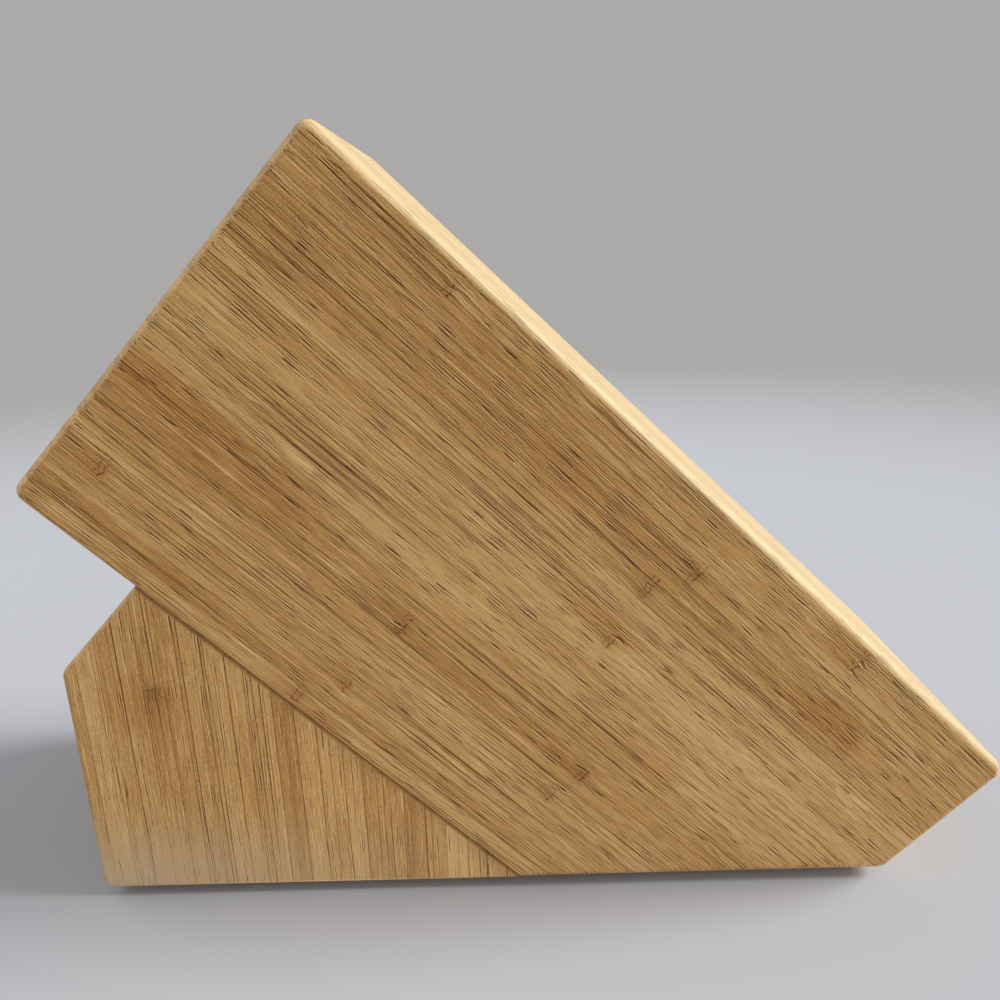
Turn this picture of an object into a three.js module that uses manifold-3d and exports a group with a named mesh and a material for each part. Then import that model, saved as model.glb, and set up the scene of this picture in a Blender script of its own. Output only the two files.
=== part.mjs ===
// A slanted bamboo knife block, empty. Millimetres, +Z up, origin at the bottom centre of its box.
//
// The body is a stack of upright boards, glued side by side across the width. Two side boards and
// four dividers run the whole length, and thin rails lie between them. The slots for the knives are
// the spaces between the rails, and a tail board closes them at the lower end. The body leans back
// on a foot of upright boards, dowelled to its underside, and stands on four screwed rubber bumpers.
//
// The body is drawn in its own plane: u runs down the length from the slot face, and v runs up from
// the underside to the long back. y runs across the width, from the near side to the far side.
import * as THREE from 'three';
import { mergeVertices } from 'three/addons/utils/BufferGeometryUtils.js';
import Module from 'manifold-3d';

const wasm = await Module();
wasm.setup();

// The body.
const BODY_LENGTH = 300;
const BODY_HEIGHT = 142;
const LEAN = THREE.MathUtils.degToRad(44); // how far the length slopes down from level
const END_FACE = 53.7; // what the level base leaves of the lower end face

// Boards across the width.
const SIDE_BOARD = 13;
const DIVIDER = 12.6;
const KNIFE_GAP = 4.8;
const TOOL_GAP = 14.4; // the middle gap, for shears and a sharpening steel
const GLUE = 0.2; // between pieces glued face to face

// Slots, by the height of the blade that they take. The rails share equally what the slots leave.
const STEAK_SLOT = 25;
const PARING_SLOT = 22;
const UTILITY_SLOT = 26;
const SLICER_SLOT = 38;
const BREAD_SLOT = 40;
const SANTOKU_SLOT = 48;
const CHEF_SLOT = 50;
const SHEARS_SLOT = 62;
const STEEL_SLOT = 14.4;
const SLOT_PAST_HEEL = 2.4; // how far the slots run past the line where the underside meets the base

// The foot.
const FOOT_INSET = 0.5; // its sides stand back from the body's sides
const FOOT_TIP = 45.3; // from the slot face, along the underside, to the foot's upper tip
const FOOT_FRONT = 28; // how far its upright front stands out past the tip
const JOINT_GAP = 0.3;

// Rounded edges and corners.
const SLOT_FACE_CORNER = 4;
const BACK_CORNER = 4.5;
const BASE_CORNER = 5;
const BODY_EDGE = 3;
const FOOT_CORNER = 5;
const FOOT_EDGE = 1.8;

// Dowels that hold the foot to the body.
const DOWEL_RADIUS = 3;
const DOWEL_LENGTH = 30;
const DOWEL_CLEARANCE = 0.3;
const DOWEL_FROM_TIP = 24;
const DOWEL_FROM_HEEL = 48;

// Rubber bumpers and the screws that hold them.
const BUMPER_RADIUS = 8;
const BUMPER_HEIGHT = 3;
const BUMPER_TAPER = 1;
const BUMPER_INSET = 18; // from the ends of the base to a bumper's centre
const WELL_RADIUS = 4.2;
const WELL_DEPTH = 1.9;
const SEAT_GAP = 0.2;
const SCREW_HEAD_RADIUS = 3.5;
const SCREW_HEAD_HEIGHT = 1.3;
const SCREW_RADIUS = 1.7;
const SCREW_LENGTH = 14;
const SCREW_POINT = 3;
const SCREW_CLEARANCE = 0.3;

const ARC_STEPS = 3;
const EDGE_STEPS = 4;
const ROUND_SIDES = 20;
const REACH = 20; // how far a cutting solid reaches past what it cuts

// ---- Values that follow from the sizes -----------------------------------------------------------

const along = new THREE.Vector2(Math.cos(LEAN), -Math.sin(LEAN)); // u, seen from the near side
const up = new THREE.Vector2(Math.sin(LEAN), Math.cos(LEAN)); // v, seen from the near side
const baseDrop = BODY_LENGTH * Math.sin(LEAN) + END_FACE * Math.cos(LEAN);
const heel = (baseDrop - BODY_HEIGHT * Math.cos(LEAN)) / Math.sin(LEAN);
const slotDepth = heel + SLOT_PAST_HEEL;
const woodBase = BUMPER_HEIGHT + SEAT_GAP;

// The gaps between boards, and the slots in each from the underside up.
const GAPS = [
  { width: KNIFE_GAP, slots: [STEAK_SLOT, STEAK_SLOT, SLICER_SLOT] },
  { width: KNIFE_GAP, slots: [PARING_SLOT, UTILITY_SLOT, CHEF_SLOT] },
  { width: TOOL_GAP, slots: [SHEARS_SLOT, STEEL_SLOT] },
  { width: KNIFE_GAP, slots: [UTILITY_SLOT, STEAK_SLOT, SANTOKU_SLOT] },
  { width: KNIFE_GAP, slots: [STEAK_SLOT, STEAK_SLOT, BREAD_SLOT] },
];
const dividerCount = GAPS.length - 1;
const gapsWidth = GAPS.reduce((sum, gap) => sum + gap.width, 0);
const bodyWidth = 2 * SIDE_BOARD + dividerCount * DIVIDER + gapsWidth + 2 * GAPS.length * GLUE;

// Each board and gap across the width, as [lowest y, highest y].
const boards = [];
const gaps = [];
let y = -bodyWidth / 2;
for (let i = 0; i <= GAPS.length; i += 1) {
  const outer = i === 0 || i === GAPS.length;
  const board = [y, y + (outer ? SIDE_BOARD : DIVIDER)];
  boards.push(board);
  if (i < GAPS.length) {
    const gap = [board[1] + GLUE, board[1] + GLUE + GAPS[i].width];
    gaps.push(gap);
    y = gap[1] + GLUE;
  }
}
const middle = ([low, high]) => (low + high) / 2;

// The matrix that leans the body: the slot face's upper corner stands over x = 0.
const lean = new THREE.Matrix4().makeRotationY(LEAN);
lean.setPosition(-BODY_HEIGHT * up.x, 0, woodBase + baseDrop - BODY_HEIGHT * up.y);

// Where a point of the body's plane lies in the upright x, z plane.
function upright(u, v) {
  const point = new THREE.Vector3(u, 0, v).applyMatrix4(lean);
  return new THREE.Vector2(point.x, point.z);
}

// ---- Solids ------------------------------------------------------------------------------------

function solidOf(geometry) {
  const bare = new THREE.BufferGeometry();
  bare.setAttribute('position', geometry.getAttribute('position'));
  bare.setIndex(geometry.getIndex());
  const merged = mergeVertices(bare, 1e-4);
  return new wasm.Manifold(new wasm.Mesh({
    numProp: 3,
    vertProperties: new Float32Array(merged.getAttribute('position').array),
    triVerts: new Uint32Array(merged.getIndex().array),
  }));
}

function geometryOf(solid) {
  const mesh = solid.getMesh();
  const geometry = new THREE.BufferGeometry();
  const positions = new Float32Array(mesh.vertProperties);
  geometry.setAttribute('position', new THREE.BufferAttribute(positions, 3));
  geometry.setIndex(new THREE.BufferAttribute(new Uint32Array(mesh.triVerts), 1));
  geometry.computeVertexNormals();
  return geometry;
}

// A box between two limits on each axis.
function boxSolid([x0, x1], [y0, y1], [z0, z1]) {
  const geometry = new THREE.BoxGeometry(x1 - x0, y1 - y0, z1 - z0);
  geometry.translate((x0 + x1) / 2, (y0 + y1) / 2, (z0 + z1) / 2);
  return solidOf(geometry);
}

// An outline through corners given anticlockwise, each rounded by its own radius.
function roundedOutline(corners) {
  const outline = new THREE.Shape();
  corners.forEach(({ at, radius }, i) => {
    const before = corners.at(i - 1).at;
    const after = corners[(i + 1) % corners.length].at;
    const back = before.clone().sub(at).normalize();
    const onward = after.clone().sub(at).normalize();
    const half = Math.acos(back.dot(onward)) / 2;
    if (radius === 0) {
      if (i === 0) outline.moveTo(at.x, at.y);
      else outline.lineTo(at.x, at.y);
      return;
    }
    const setback = radius / Math.tan(half);
    const start = at.clone().addScaledVector(back, setback);
    const centre = back.clone().add(onward).normalize().multiplyScalar(radius / Math.sin(half)).add(at);
    const from = start.clone().sub(centre).angle();
    if (i === 0) outline.moveTo(start.x, start.y);
    else outline.lineTo(start.x, start.y);
    outline.absarc(centre.x, centre.y, radius, from, from + Math.PI - 2 * half, false);
  });
  outline.closePath();
  return outline;
}

// An outline in an upright plane, spread across the width, with its long edges rounded.
function roundedSlab(outline, width, edge) {
  const geometry = new THREE.ExtrudeGeometry(outline, {
    depth: width - 2 * edge,
    curveSegments: ARC_STEPS,
    bevelThickness: edge,
    bevelSize: edge,
    bevelOffset: -edge,
    bevelSegments: EDGE_STEPS,
  });
  geometry.rotateX(Math.PI / 2);
  geometry.translate(0, width / 2 - edge, 0);
  return solidOf(geometry);
}

// A round bar along z, between two heights.
function roundBar(radius, z0, z1) {
  const geometry = new THREE.CylinderGeometry(radius, radius, z1 - z0, ROUND_SIDES);
  geometry.rotateX(Math.PI / 2);
  geometry.translate(0, 0, (z0 + z1) / 2);
  return geometry;
}

// ---- Outer forms ---------------------------------------------------------------------------------

function bodyForm() {
  const endHeight = BODY_HEIGHT - END_FACE;
  return roundedSlab(roundedOutline([
    { at: new THREE.Vector2(0, 0), radius: SLOT_FACE_CORNER },
    { at: new THREE.Vector2(heel, 0), radius: 0 },
    { at: new THREE.Vector2(BODY_LENGTH, endHeight), radius: BASE_CORNER },
    { at: new THREE.Vector2(BODY_LENGTH, BODY_HEIGHT), radius: BACK_CORNER },
    { at: new THREE.Vector2(0, BODY_HEIGHT), radius: SLOT_FACE_CORNER },
  ]), bodyWidth, BODY_EDGE);
}

const footTip = upright(FOOT_TIP, 0);
const footFront = footTip.x - FOOT_FRONT;

// The foot reaches up into the body here, and its boards are then cut off below the underside.
function footForm() {
  const chamferEnd = footTip.clone().addScaledVector(up, -FOOT_FRONT / up.x);
  const tip = footTip.clone().addScaledVector(up, REACH);
  const toe = new THREE.Vector2(upright(heel, 0).x + REACH / Math.sin(LEAN), woodBase);
  return roundedSlab(roundedOutline([
    { at: new THREE.Vector2(footFront, woodBase), radius: FOOT_CORNER },
    { at: toe, radius: 0 },
    { at: tip, radius: 0 },
    { at: chamferEnd, radius: FOOT_CORNER },
  ]), bodyWidth - 2 * FOOT_INSET, FOOT_EDGE);
}

// ---- Places of dowels and bumpers ------------------------------------------------------------------

// The outer dividers carry them, because they have wood over their full length.
const fastenerRows = [middle(boards[1]), middle(boards[dividerCount])];
const dowelPlaces = [];
const bumperPlaces = [];
for (const row of fastenerRows) {
  for (const u of [FOOT_TIP + DOWEL_FROM_TIP, heel - DOWEL_FROM_HEEL]) {
    dowelPlaces.push([u, row]);
  }
  const baseEnd = upright(BODY_LENGTH, BODY_HEIGHT - END_FACE).x;
  for (const x of [footFront + BUMPER_INSET, baseEnd - BUMPER_INSET]) {
    bumperPlaces.push([x, row]);
  }
}
const screwSeat = WELL_DEPTH - SEAT_GAP;

// Holes for all dowels, in the body's own plane.
function dowelHoles() {
  const half = DOWEL_LENGTH / 2 + DOWEL_CLEARANCE;
  return dowelPlaces.map(([u, row]) => {
    const hole = roundBar(DOWEL_RADIUS + DOWEL_CLEARANCE, -half, half);
    return hole.translate(u, row, 0);
  });
}

// Pilot holes for all bumper screws, in the upright frame.
function pilotHoles() {
  const top = screwSeat + SCREW_LENGTH + SCREW_CLEARANCE;
  return bumperPlaces.map(([x, row]) => {
    const hole = roundBar(SCREW_RADIUS + SCREW_CLEARANCE, 0, top);
    return hole.translate(x, row, 0);
  });
}

// ---- Pieces --------------------------------------------------------------------------------------

const bamboo = new THREE.MeshStandardMaterial({ color: 0xc9985c, roughness: 0.55, metalness: 0 });
const paleBamboo = new THREE.MeshStandardMaterial({ color: 0xd6ab70, roughness: 0.6, metalness: 0 });
const footBamboo = new THREE.MeshStandardMaterial({ color: 0xc79a63, roughness: 0.6, metalness: 0 });
const beech = new THREE.MeshStandardMaterial({ color: 0xc9a06c, roughness: 0.7, metalness: 0 });
const rubber = new THREE.MeshStandardMaterial({ color: 0x2b2b2b, roughness: 0.9, metalness: 0 });
const steel = new THREE.MeshStandardMaterial({ color: 0xb4b4b0, roughness: 0.4, metalness: 0.9 });

function meshOf(name, geometry, material) {
  const mesh = new THREE.Mesh(geometry, material);
  mesh.name = name;
  return mesh;
}

function makeBody() {
  const body = new THREE.Group();
  const form = bodyForm();
  const allLength = [-REACH, BODY_LENGTH + REACH];
  const allHeight = [-REACH, BODY_HEIGHT + REACH];
  const toBodyPlane = lean.clone().invert();
  const holes = dowelHoles().concat(pilotHoles().map((hole) => hole.applyMatrix4(toBodyPlane)));
  const holeSolids = holes.map(solidOf);

  boards.forEach((across, i) => {
    let solid = form.intersect(boxSolid(allLength, across, allHeight));
    if (fastenerRows.includes(middle(across))) {
      for (const hole of holeSolids) solid = solid.subtract(hole);
    }
    let name = `divider_${i}`;
    if (i === 0) name = 'side_board_near';
    if (i === boards.length - 1) name = 'side_board_far';
    body.add(meshOf(name, geometryOf(solid), bamboo));
  });

  gaps.forEach((across, i) => {
    const { slots } = GAPS[i];
    const rail = (BODY_HEIGHT - slots.reduce((sum, slot) => sum + slot, 0)) / (slots.length + 1);
    let v = 0;
    for (let k = 0; k <= slots.length; k += 1) {
      const solid = form.intersect(boxSolid([-REACH, slotDepth], across, [v, v + rail]));
      body.add(meshOf(`rail_${i + 1}_${k + 1}`, geometryOf(solid), paleBamboo));
      v += rail + (slots[k] ?? 0);
    }
    const tail = form.intersect(boxSolid([slotDepth + GLUE, BODY_LENGTH + REACH], across, allHeight));
    body.add(meshOf(`tail_${i + 1}`, geometryOf(tail), paleBamboo));
  });

  dowelPlaces.forEach(([u, row], i) => {
    const bar = roundBar(DOWEL_RADIUS, -DOWEL_LENGTH / 2, DOWEL_LENGTH / 2);
    const dowel = meshOf(`dowel_${i + 1}`, bar, beech);
    dowel.position.set(u, row, 0);
    body.add(dowel);
  });

  body.rotation.y = LEAN;
  body.position.setFromMatrixPosition(lean);
  return body;
}

// The foot's glue lines lie under the middles of the gaps, so each dowel stands in one board.
function makeFoot() {
  const foot = new THREE.Group();
  const overhead = boxSolid(
    [-REACH, BODY_LENGTH + REACH],
    [-bodyWidth, bodyWidth],
    [-JOINT_GAP, BODY_HEIGHT],
  );
  let form = footForm().subtract(solidOf(geometryOf(overhead).applyMatrix4(lean)));
  const holes = dowelHoles().map((hole) => hole.applyMatrix4(lean)).concat(pilotHoles());
  for (const hole of holes) form = form.subtract(solidOf(hole));

  const lines = [-bodyWidth, ...gaps.map(middle), bodyWidth];
  for (let i = 0; i + 1 < lines.length; i += 1) {
    const across = [lines[i] + GLUE / 2, lines[i + 1] - GLUE / 2];
    const slab = boxSolid([-BODY_LENGTH, BODY_LENGTH], across, [0, BODY_LENGTH]);
    foot.add(meshOf(`foot_board_${i + 1}`, geometryOf(form.intersect(slab)), footBamboo));
  }
  return foot;
}

function bumperGeometry() {
  const hole = SCREW_RADIUS + SCREW_CLEARANCE;
  const profile = [
    [WELL_RADIUS, 0],
    [BUMPER_RADIUS - BUMPER_TAPER, 0],
    [BUMPER_RADIUS, BUMPER_HEIGHT],
    [hole, BUMPER_HEIGHT],
    [hole, WELL_DEPTH],
    [WELL_RADIUS, WELL_DEPTH],
    [WELL_RADIUS, 0],
  ].map(([radius, z]) => new THREE.Vector2(radius, z));
  return new THREE.LatheGeometry(profile, ROUND_SIDES).rotateX(Math.PI / 2);
}

function screwGeometry() {
  const tip = screwSeat + SCREW_LENGTH;
  const profile = [
    [0, screwSeat - SCREW_HEAD_HEIGHT],
    [SCREW_HEAD_RADIUS - SCREW_HEAD_HEIGHT / 2, screwSeat - SCREW_HEAD_HEIGHT],
    [SCREW_HEAD_RADIUS, screwSeat],
    [SCREW_RADIUS, screwSeat],
    [SCREW_RADIUS, tip - SCREW_POINT],
    [0, tip],
  ].map(([radius, z]) => new THREE.Vector2(radius, z));
  return new THREE.LatheGeometry(profile, ROUND_SIDES).rotateX(Math.PI / 2);
}

function makeBumpers() {
  const bumpers = new THREE.Group();
  bumperPlaces.forEach(([x, row], i) => {
    const bumper = meshOf(`bumper_${i + 1}`, bumperGeometry(), rubber);
    const screw = meshOf(`bumper_screw_${i + 1}`, screwGeometry(), steel);
    for (const piece of [bumper, screw]) {
      piece.position.set(x, row, 0);
      bumpers.add(piece);
    }
  });
  return bumpers;
}

// ---- The knife block -----------------------------------------------------------------------------

const knifeBlock = new THREE.Group();
knifeBlock.add(makeBody(), makeFoot(), makeBumpers());
knifeBlock.updateMatrixWorld(true);
const box = new THREE.Box3().setFromObject(knifeBlock, true);
knifeBlock.position.x = -(box.min.x + box.max.x) / 2;
knifeBlock.updateMatrixWorld(true);

export default knifeBlock;
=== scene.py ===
# The looks of an empty, slanted bamboo knife block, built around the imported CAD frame. Lengths are
# in metres, +Z up.
#
# Every board, rail and foot board is a refined copy of its CAD solid: its facets are merged, its
# glued faces close up to their neighbours, and the slots' mouths are chamfered. Bamboo is one solid
# texture of strips, fibres and knuckles, laid along each board's own grain. The rubber bumpers, the
# screws and the dowels are turned from profiles, and each screw's head has a cross recess.
import math

import bmesh
import bpy
from mathutils import Matrix, Vector


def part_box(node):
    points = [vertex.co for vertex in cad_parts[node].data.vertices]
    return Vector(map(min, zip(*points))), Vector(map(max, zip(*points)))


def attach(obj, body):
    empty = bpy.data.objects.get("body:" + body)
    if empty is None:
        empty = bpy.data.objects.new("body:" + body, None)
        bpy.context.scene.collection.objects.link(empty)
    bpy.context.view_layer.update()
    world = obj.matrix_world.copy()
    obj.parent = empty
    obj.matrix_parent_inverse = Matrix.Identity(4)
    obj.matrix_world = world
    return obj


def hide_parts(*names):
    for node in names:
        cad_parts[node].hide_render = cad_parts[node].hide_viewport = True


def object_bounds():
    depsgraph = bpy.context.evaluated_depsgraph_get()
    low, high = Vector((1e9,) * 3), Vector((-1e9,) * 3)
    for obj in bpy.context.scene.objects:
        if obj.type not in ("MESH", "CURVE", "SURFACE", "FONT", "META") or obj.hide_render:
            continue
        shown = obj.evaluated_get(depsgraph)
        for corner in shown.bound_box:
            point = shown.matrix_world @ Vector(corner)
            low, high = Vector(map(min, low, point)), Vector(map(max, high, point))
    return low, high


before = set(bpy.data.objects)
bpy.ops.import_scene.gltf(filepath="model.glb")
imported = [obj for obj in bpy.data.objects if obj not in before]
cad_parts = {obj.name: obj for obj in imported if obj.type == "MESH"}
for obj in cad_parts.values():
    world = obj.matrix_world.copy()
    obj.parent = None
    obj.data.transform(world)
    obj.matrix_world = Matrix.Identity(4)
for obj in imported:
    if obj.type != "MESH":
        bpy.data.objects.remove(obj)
CAD_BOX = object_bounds()

MM = 0.001
LEAN = math.radians(44)  # how far the body's length slopes down from level

# Boards.
GLUE_GROWTH = 0.07 * MM  # each glued face grows into the CAD's glue gap
MOUTH_CHAMFER = 0.6 * MM
CUT_OVERLAP = 0.1 * MM
MERGE_DISTANCE = 0.002 * MM
FLAT_ANGLE = math.radians(0.3)  # facets that meet at less than this are one flat face
SHARP_ANGLE = math.radians(34)
NORMAL_WEIGHT = 100  # above 50, larger faces count for more
GAP_COUNT = 5

# ---- Body axes -----------------------------------------------------------------------------------
# u runs down the body's length from the slot face, y across the width, and v up to the long back.

TO_BODY = Matrix.Rotation(-LEAN, 4, "Y")
FROM_BODY = TO_BODY.inverted()


def body_span(node):
    """Lowest and highest corner of a CAD node in body axes, as (u, y, v) vectors."""
    points = [TO_BODY @ vertex.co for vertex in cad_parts[node].data.vertices]
    low = Vector([min(point[i] for point in points) for i in range(3)])
    high = Vector([max(point[i] for point in points) for i in range(3)])
    return low, high


def nodes_named(start):
    return sorted(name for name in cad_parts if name.startswith(start))


# ---- Mesh helpers --------------------------------------------------------------------------------


def scene_object(name, bm):
    """An object of bm's mesh, in the scene. bm is freed."""
    mesh = bpy.data.meshes.new(name)
    bm.to_mesh(mesh)
    bm.free()
    made = bpy.data.objects.new(name, mesh)
    bpy.context.scene.collection.objects.link(made)
    return made


def finish_object(name, bm, material, node):
    """A piece of bm's mesh that rides on the body and stands for one CAD node."""
    piece = scene_object(name, bm)
    piece.data.materials.append(material)
    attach(piece, "root")
    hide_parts(node)
    return piece


def shade(piece):
    """Smooth shading that keeps the flat faces flat and the sharp edges sharp."""
    piece.data.shade_smooth()
    piece.data.set_sharp_from_angle(angle=SHARP_ANGLE)
    weighted = piece.modifiers.new("weighted_normals", "WEIGHTED_NORMAL")
    weighted.keep_sharp = True
    weighted.weight = NORMAL_WEIGHT


def seed_attribute(piece, seed):
    """Gives the piece a number that its material reads, so no two boards have the same grain."""
    attribute = piece.data.attributes.new("board_seed", "FLOAT", "POINT")
    attribute.data.foreach_set("value", [seed] * len(piece.data.vertices))


# ---- Boards --------------------------------------------------------------------------------------


def cad_copy(node):
    """The CAD node's mesh, with its split vertices merged and its flat faces made whole."""
    bm = bmesh.new()
    bm.from_mesh(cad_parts[node].data)
    bmesh.ops.remove_doubles(bm, verts=bm.verts, dist=MERGE_DISTANCE)
    bmesh.ops.dissolve_limit(bm, angle_limit=FLAT_ANGLE, verts=bm.verts, edges=bm.edges)
    return bm


def close_glue(bm, node):
    """Moves the flat faces that a neighbour is glued to a little way towards the neighbour."""
    low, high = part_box(node)
    for vertex in bm.verts:
        if abs(vertex.co.y - low.y) < MERGE_DISTANCE and low.y > CAD_BOX[0].y + MM:
            vertex.co.y -= GLUE_GROWTH
        elif abs(vertex.co.y - high.y) < MERGE_DISTANCE and high.y < CAD_BOX[1].y - MM:
            vertex.co.y += GLUE_GROWTH


def frustum(bm, low, high, spread_near, spread_far, u_near, u_far):
    """Adds a closed block. It is low to high across, and each side stands further out by the
    spread given for its end."""
    corners = []
    for u, spread in ((u_near, spread_near), (u_far, spread_far)):
        for y, v in ((low.y, low.z), (high.y, low.z), (high.y, high.z), (low.y, high.z)):
            side_y = -spread if y == low.y else spread
            side_v = -spread if v == low.z else spread
            corners.append(bm.verts.new(FROM_BODY @ Vector((u, y + side_y, v + side_v))))
    bm.faces.new(corners[0:4])
    bm.faces.new(reversed(corners[4:8]))
    for i in range(4):
        j = (i + 1) % 4
        bm.faces.new((corners[i], corners[i + 4], corners[j + 4], corners[j]))


def mouth_cutter():
    """One mesh of all the slots' chamfers. A slot is what two rails of a gap leave between them."""
    boards = ["side_board_near", *nodes_named("divider_"), "side_board_far"]
    bm = bmesh.new()
    for gap in range(1, GAP_COUNT + 1):
        low_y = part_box(boards[gap - 1])[1].y + GLUE_GROWTH
        high_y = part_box(boards[gap])[0].y - GLUE_GROWTH
        rails = [body_span(name) for name in nodes_named(f"rail_{gap}_")]
        for (rail_start, lower), (upper, _) in zip(rails, rails[1:]):
            low = Vector((rail_start.x, low_y, lower.z))
            high = Vector((rail_start.x, high_y, upper.z))
            spread = MOUTH_CHAMFER + CUT_OVERLAP
            frustum(bm, low, high, spread, -CUT_OVERLAP, low.x - CUT_OVERLAP, low.x + spread)
    bmesh.ops.recalc_face_normals(bm, faces=bm.faces)
    return scene_object("mouth_cutter", bm)


def cut_mouths(piece, cutter):
    """Takes the cutter's shapes out of a piece, and leaves it as plain mesh."""
    boolean = piece.modifiers.new("mouths", "BOOLEAN")
    boolean.operation = "DIFFERENCE"
    boolean.solver = "EXACT"
    boolean.object = cutter
    bpy.context.view_layer.update()
    shaped = piece.evaluated_get(bpy.context.evaluated_depsgraph_get())
    cut = bpy.data.meshes.new_from_object(shaped)
    piece.modifiers.clear()
    piece.data = cut


def make_boards(materials):
    cutter = mouth_cutter()
    plan = (
        ("side_board_near", "near_side", "side_bamboo", True),
        ("side_board_far", "far_side", "side_bamboo", True),
        ("divider_", "divider", "divider_bamboo", True),
        ("rail_", "rail", "rail_bamboo", True),
        ("tail_", "rail", "rail_bamboo", False),
        ("foot_board_", "foot", "foot_bamboo", False),
    )
    seed = 0
    for start, look, slot_name, has_mouth in plan:
        for node in nodes_named(start):
            bm = cad_copy(node)
            close_glue(bm, node)
            piece = finish_object(f"{node}_looks", bm, materials[look], node)
            if has_mouth:
                cut_mouths(piece, cutter)
            shade(piece)
            seed_attribute(piece, seed)
            seed += 1
    bpy.data.objects.remove(cutter)


# ---- Turned pieces -------------------------------------------------------------------------------

TURN_STEPS = 64
ROUNDING_STEPS = 5
AXIS_RADIUS = 0.001 * MM  # a smaller radius than this is a point on the axis

BUMPER_TAPER = 1.0 * MM
BUMPER_SOFT_EDGE = 0.8 * MM
WELL_RADIUS = 4.2 * MM
WELL_DEPTH = 1.9 * MM
WELL_SOFT_EDGE = 0.3 * MM
BUMPER_HOLE_RADIUS = 2.0 * MM

SCREW_HEAD_RADIUS = 3.5 * MM
SCREW_HEAD_HEIGHT = 1.3 * MM
SCREW_HEAD_EDGE = 0.5 * MM
SCREW_SHANK_RADIUS = 1.7 * MM
SCREW_CORE_RADIUS = 1.25 * MM
SCREW_PITCH = 1.4 * MM
THREAD_STEEPNESS = 4  # 4 makes the ridge half of a pitch wide
SCREW_POINT = 3.0 * MM
SCREW_RINGS_PER_PITCH = 8
CROSS_LENGTH = 1.6 * MM  # from the middle to an arm's end
CROSS_WIDTH = 0.6 * MM
CROSS_DEPTH = 0.8 * MM
CROSS_TAPER = 0.75  # the recess's floor against its mouth
CROSS_ARMS = 4

DOWEL_CHAMFER = 1.0 * MM
DOWEL_FLUTES = 16
DOWEL_FLUTE_DEPTH = 0.2 * MM


def rounded(corners):
    """A profile of points with its corners rounded. A corner is (radius, z, rounding)."""
    points = []
    for i, (r, z, size) in enumerate(corners):
        here = Vector((r, z))
        if size == 0:
            points.append(here)
            continue
        before = Vector(corners[i - 1][:2]) - here
        after = Vector(corners[(i + 1) % len(corners)][:2]) - here
        start = here + before.normalized() * size
        end = here + after.normalized() * size
        for k in range(ROUNDING_STEPS + 1):
            t = k / ROUNDING_STEPS
            points.append((1 - t) ** 2 * start + 2 * t * (1 - t) * here + t ** 2 * end)
    return points


def turned(profile, radius_at=None, closed=False):
    """A surface of revolution about the Z axis. It is open where the profile ends off the axis,
    unless the profile is closed. radius_at(radius, z, angle) may reshape it."""
    bm = bmesh.new()
    rings = []
    for r, z in profile:
        if r < AXIS_RADIUS:
            rings.append([bm.verts.new((0, 0, z))])
            continue
        ring = []
        for k in range(TURN_STEPS):
            angle = 2 * math.pi * k / TURN_STEPS
            size = radius_at(r, z, angle) if radius_at else r
            ring.append(bm.verts.new((size * math.cos(angle), size * math.sin(angle), z)))
        rings.append(ring)
    pairs = list(zip(rings, rings[1:]))
    if closed:
        pairs.append((rings[-1], rings[0]))
    for a, b in pairs:
        for k in range(TURN_STEPS):
            j = (k + 1) % TURN_STEPS
            corners = (a[k % len(a)], a[j % len(a)], b[j % len(b)], b[k % len(b)])
            bm.faces.new(dict.fromkeys(corners))
    bmesh.ops.recalc_face_normals(bm, faces=bm.faces)
    return bm


def make_bumpers(material):
    for node in nodes_named("bumper_"):
        if node.startswith("bumper_screw"):
            continue
        low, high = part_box(node)
        centre = (low + high) / 2
        radius = (high.x - low.x) / 2
        corners = (
            (WELL_RADIUS, low.z, WELL_SOFT_EDGE),
            (radius - BUMPER_TAPER, low.z, BUMPER_SOFT_EDGE),
            (radius, high.z, WELL_SOFT_EDGE),
            (BUMPER_HOLE_RADIUS, high.z, 0),
            (BUMPER_HOLE_RADIUS, low.z + WELL_DEPTH, 0),
            (WELL_RADIUS, low.z + WELL_DEPTH, WELL_SOFT_EDGE),
        )
        bm = turned(rounded(corners), closed=True)
        bmesh.ops.translate(bm, verts=bm.verts, vec=(centre.x, centre.y, 0))
        shade(finish_object(f"{node}_looks", bm, material, node))


def thread_radius(radius, z, angle):
    """The outside of a screw's thread: a ridge that climbs one pitch at each turn."""
    turn = (z / SCREW_PITCH - angle / (2 * math.pi)) % 1
    ridge = max(0.0, 1 - abs(turn - 0.5) * THREAD_STEEPNESS)
    outside = SCREW_CORE_RADIUS + ridge * (SCREW_SHANK_RADIUS - SCREW_CORE_RADIUS)
    return radius * outside / SCREW_SHANK_RADIUS


def screw_profile(low, high):
    """A screw's outline from the edge of its head's flat underside to its point."""
    seat = low + SCREW_HEAD_HEIGHT
    head = rounded((
        (0, low, 0),
        (SCREW_HEAD_RADIUS - SCREW_HEAD_HEIGHT / 2, low, SCREW_HEAD_EDGE),
        (SCREW_HEAD_RADIUS, seat, 0),
    ))[1:]
    shank_end = high - SCREW_POINT
    ring_count = round((shank_end - seat) / SCREW_PITCH * SCREW_RINGS_PER_PITCH)
    shank = [(SCREW_SHANK_RADIUS, seat + (shank_end - seat) * k / ring_count)
             for k in range(ring_count + 1)]
    point_rings = round(SCREW_POINT / SCREW_PITCH * SCREW_RINGS_PER_PITCH)
    point = [(SCREW_SHANK_RADIUS * (1 - k / point_rings), shank_end + SCREW_POINT * k / point_rings)
             for k in range(1, point_rings + 1)]
    return [*head, *shank, *point]


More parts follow.
